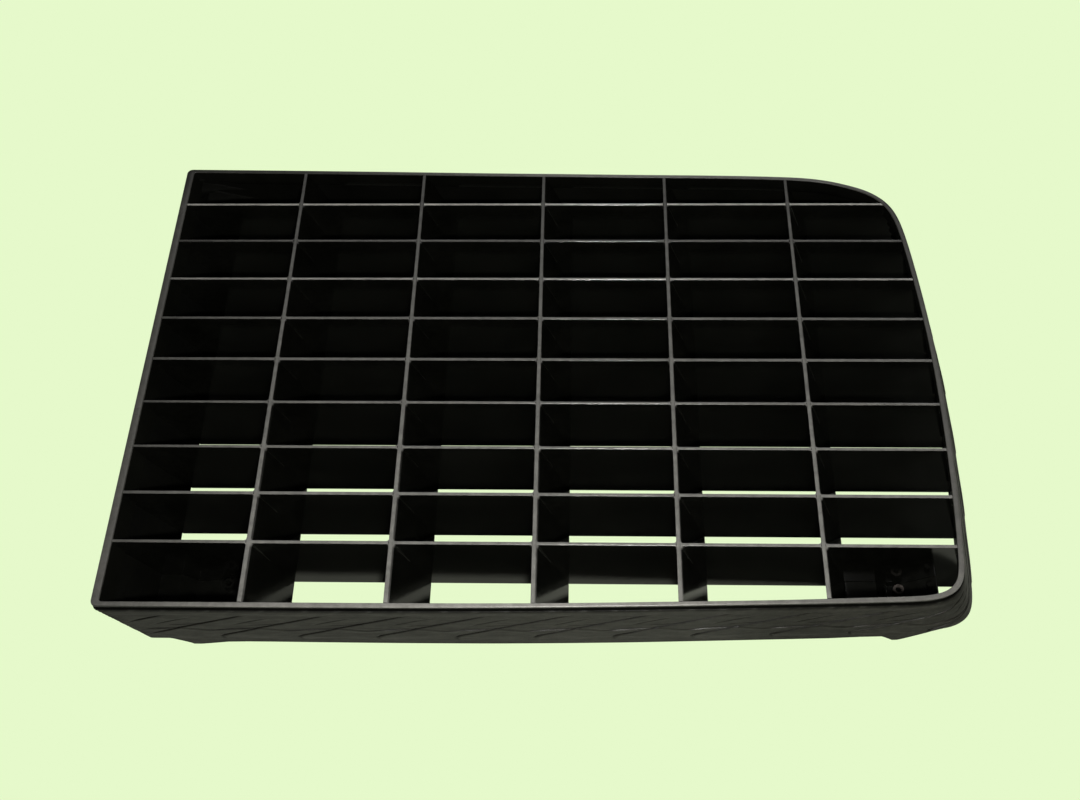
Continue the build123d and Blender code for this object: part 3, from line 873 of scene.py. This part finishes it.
# --------------------------------------------------------------- CAD pieces
def even_shading():
    """Geometry nodes that drop the stored normals and shade every face smooth."""
    tree = bpy.data.node_groups.new("even_shading", "GeometryNodeTree")
    for direction in ("INPUT", "OUTPUT"):
        tree.interface.new_socket("Geometry", in_out=direction,
                                  socket_type="NodeSocketGeometry")
    g = Graph(tree)
    start = g.out("NodeGroupInput")
    end = g.add("NodeGroupOutput")
    last = g.out("GeometryNodeRemoveAttribute", {0: start, "Name": "custom_normal"})
    for domain in ("FACE", "EDGE"):
        last = g.out("GeometryNodeSetShadeSmooth", {0: last, "Shade Smooth": True},
                     domain=domain)
    # long edges in the top plane get the full moulded radius
    height = g.xyz(g.out("GeometryNodeInputPosition"))[2]
    ends = g.add("GeometryNodeInputMeshEdgeVertices").outputs
    length = g.add("ShaderNodeVectorMath", {0: ends["Position 1"], 1: ends["Position 2"]},
                   operation="DISTANCE").outputs["Value"]
    angle = g.add("GeometryNodeInputMeshEdgeAngle").outputs["Unsigned Angle"]
    chosen = None
    for value, limit in ((height, (TOP - 0.03) / 1000), (length, 0.006), (angle, 0.6)):
        test = g.out("FunctionNodeCompare", {0: value, 1: limit}, data_type="FLOAT",
                     operation="GREATER_THAN")
        if chosen is None:
            chosen = test
        else:
            chosen = g.out("FunctionNodeBooleanMath", {0: chosen, 1: test}, operation="AND")
    stored = g.out("GeometryNodeStoreNamedAttribute",
                   {0: last, "Name": "bevel_weight_edge", "Value": chosen},
                   data_type="FLOAT", domain="EDGE")
    g.feed(end.inputs[0], stored)
    return tree


EVEN_SHADING = even_shading()


def modify(obj, name, kind, **settings):
    modifier = obj.modifiers.new(name, kind)
    for key, value in settings.items():
        setattr(modifier, key, value)


def soften(obj, width, segments=3, top=None):
    """Rounded moulded edges on a CAD piece, by modifiers only; widths in metres."""
    modify(obj, "weld", "WELD", merge_threshold=2e-6)
    modify(obj, "flat", "DECIMATE", decimate_type="DISSOLVE", angle_limit=math.radians(0.4))
    modify(obj, "even", "NODES", node_group=EVEN_SHADING)
    if top:
        modify(obj, "top_edge", "BEVEL", width=top, segments=6, limit_method="WEIGHT",
               use_clamp_overlap=False)
    modify(obj, "edge", "BEVEL", width=width, segments=segments, limit_method="ANGLE",
           angle_limit=math.radians(38), use_clamp_overlap=True, harden_normals=False)
    modify(obj, "normals", "WEIGHTED_NORMAL", mode="FACE_AREA", weight=60, keep_sharp=False)


# Some vanes have fuller top edges than others, and vanes 1 and 3 carry a painted highlight along
# their tops.
VANE_EDGE = {1: 0.0010, 3: 0.0010, 6: 0.0010, 7: 0.0009, 9: 0.0007, 2: 0.0007, 4: 0.0005}
VANE_PLASTIC = {1: BRIGHT_HIGHLIGHT_PLASTIC, 3: SOFT_HIGHLIGHT_PLASTIC}

for name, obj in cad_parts.items():
    if name.startswith("long_rib"):
        paint(obj, LATTICE_PLASTIC)
        soften(obj, width=0.0003, top=0.0007)
    elif name.startswith("cross_vane"):
        number = int(name.rsplit("_", 1)[1])
        paint(obj, VANE_PLASTIC.get(number, LATTICE_PLASTIC))
        soften(obj, width=0.0003, top=VANE_EDGE.get(number, 0.0003))
    elif name.startswith("corner_plate_screws"):
        paint(obj, SCREW_STEEL)
        soften(obj, width=0.00025, segments=2)
    elif name.startswith("corner_plate"):
        paint(obj, PLATE_PLASTIC)
        soften(obj, width=0.0005)

# -------------------------------------------------------------------- stage
PALE = (0.791, 0.947, 0.597)
FLOOR_HALF, FLOOR_Z = 8.0, -0.0002


def floor_material():
    """Flat pale to the camera, but a dimmer matt surface to other rays."""
    material = bpy.data.materials.new("pale_floor")
    g = empty_graph(material)
    output = g.add("ShaderNodeOutputMaterial")
    rays = g.add("ShaderNodeLightPath").outputs
    seen = g.out("ShaderNodeEmission", {"Color": PALE, "Strength": 1.0})
    lit = g.out("ShaderNodeBsdfDiffuse", {"Color": (0.30, 0.33, 0.25)})
    mirrored = g.out("ShaderNodeBsdfDiffuse", {"Color": (0.44, 0.46, 0.39)})
    unseen = g.mix_shader(rays["Is Glossy Ray"], lit, mirrored)
    g.feed(output.inputs[0], g.mix_shader(rays["Is Camera Ray"], unseen, seen))
    return material


mesh = bpy.data.meshes.new("floor")
corners = [(-1, -1), (1, -1), (1, 1), (-1, 1)]
mesh.from_pydata([(x * FLOOR_HALF, y * FLOOR_HALF, FLOOR_Z) for x, y in corners], [],
                 [(0, 1, 2, 3)])
floor = link(bpy.data.objects.new("floor", mesh))
floor.data.materials.append(floor_material())

# pale to the camera, almost dark as a light
world = bpy.data.worlds.new("studio")
bpy.context.scene.world = world
g = empty_graph(world)
output = g.add("ShaderNodeOutputWorld")
rays = g.add("ShaderNodeLightPath").outputs
sky = g.out("ShaderNodeBackground", {"Color": PALE, "Strength": 1.0})
dim = g.out("ShaderNodeBackground", {"Color": (1, 1, 1), "Strength": 0.02})
g.feed(output.inputs[0], g.mix_shader(rays["Is Camera Ray"], dim, sky))

WHITE = (1, 1, 1)
# Area lights, in metres and watts: name, place, target, size, power, colour.
LIGHTS = [
    ("near_soft", (0.08, -0.75, 0.90), (0.0, -0.02, 0.03), (0.09, 0.06), 9.9, (1.0, 0.985, 0.95)),
    ("rear_soft", (0.15, 1.25, 1.75), (0.0, 0.0, 0.05), (1.9, 1.3), 4.0, (1.0, 0.99, 0.97)),
    ("front_fill", (-0.2, -2.2, 0.55), (0.0, -0.2, 0.03), (2.0, 0.7), 2.0, (1.0, 0.97, 0.93)),
    ("right_fill", (2.2, -0.3, 0.7), (0.2, 0.0, 0.03), (1.2, 0.8), 6.0, WHITE),
    ("left_fill", (-2.4, 0.2, 0.4), (-0.2, 0.0, 0.03), (1.2, 0.6), 2.5, WHITE),
    ("back_fill", (0.3, 2.4, 0.6), (0.0, 0.1, 0.03), (1.6, 0.7), 9.0, WHITE),
]
for name, location, target, size, power, colour in LIGHTS:
    light = bpy.data.lights.new(name, "AREA")
    light.shape = "RECTANGLE"
    light.size, light.size_y = size
    light.energy = power
    light.color = colour
    lamp = link(bpy.data.objects.new(name, light))
    lamp.location = location
    aim = Vector(target) - Vector(location)
    lamp.rotation_euler = aim.to_track_quat("-Z", "Y").to_euler()

# ------------------------------------------------------------------- camera
CAMERA_PLACE = (35.06, -663.70, -878.40)     # lattice frame, mm; above the top plane
CAMERA_RIGHT = (0.9995145, 0.02095723, -0.02305543)
CAMERA_UP = (-0.00368708, 0.81433637, 0.58038149)
CAMERA_BACK = (0.03093806, -0.58001471, 0.81401829)

lens = bpy.data.cameras.new("camera")
lens.sensor_width = 36.0
lens.sensor_fit = "HORIZONTAL"
lens.lens = 48.395
lens.clip_start, lens.clip_end = 0.05, 50.0
camera = link(bpy.data.objects.new("camera", lens))
turn = Matrix((CAMERA_RIGHT, CAMERA_UP, CAMERA_BACK)).transposed().to_4x4()
camera.matrix_world = Matrix.Translation(Vector(place(*CAMERA_PLACE))) @ turn
bpy.context.scene.camera = camera

view = bpy.context.scene.view_settings
view.view_transform = "Standard"
view.look = "None"
view.exposure = 0.0
view.gamma = 1.0
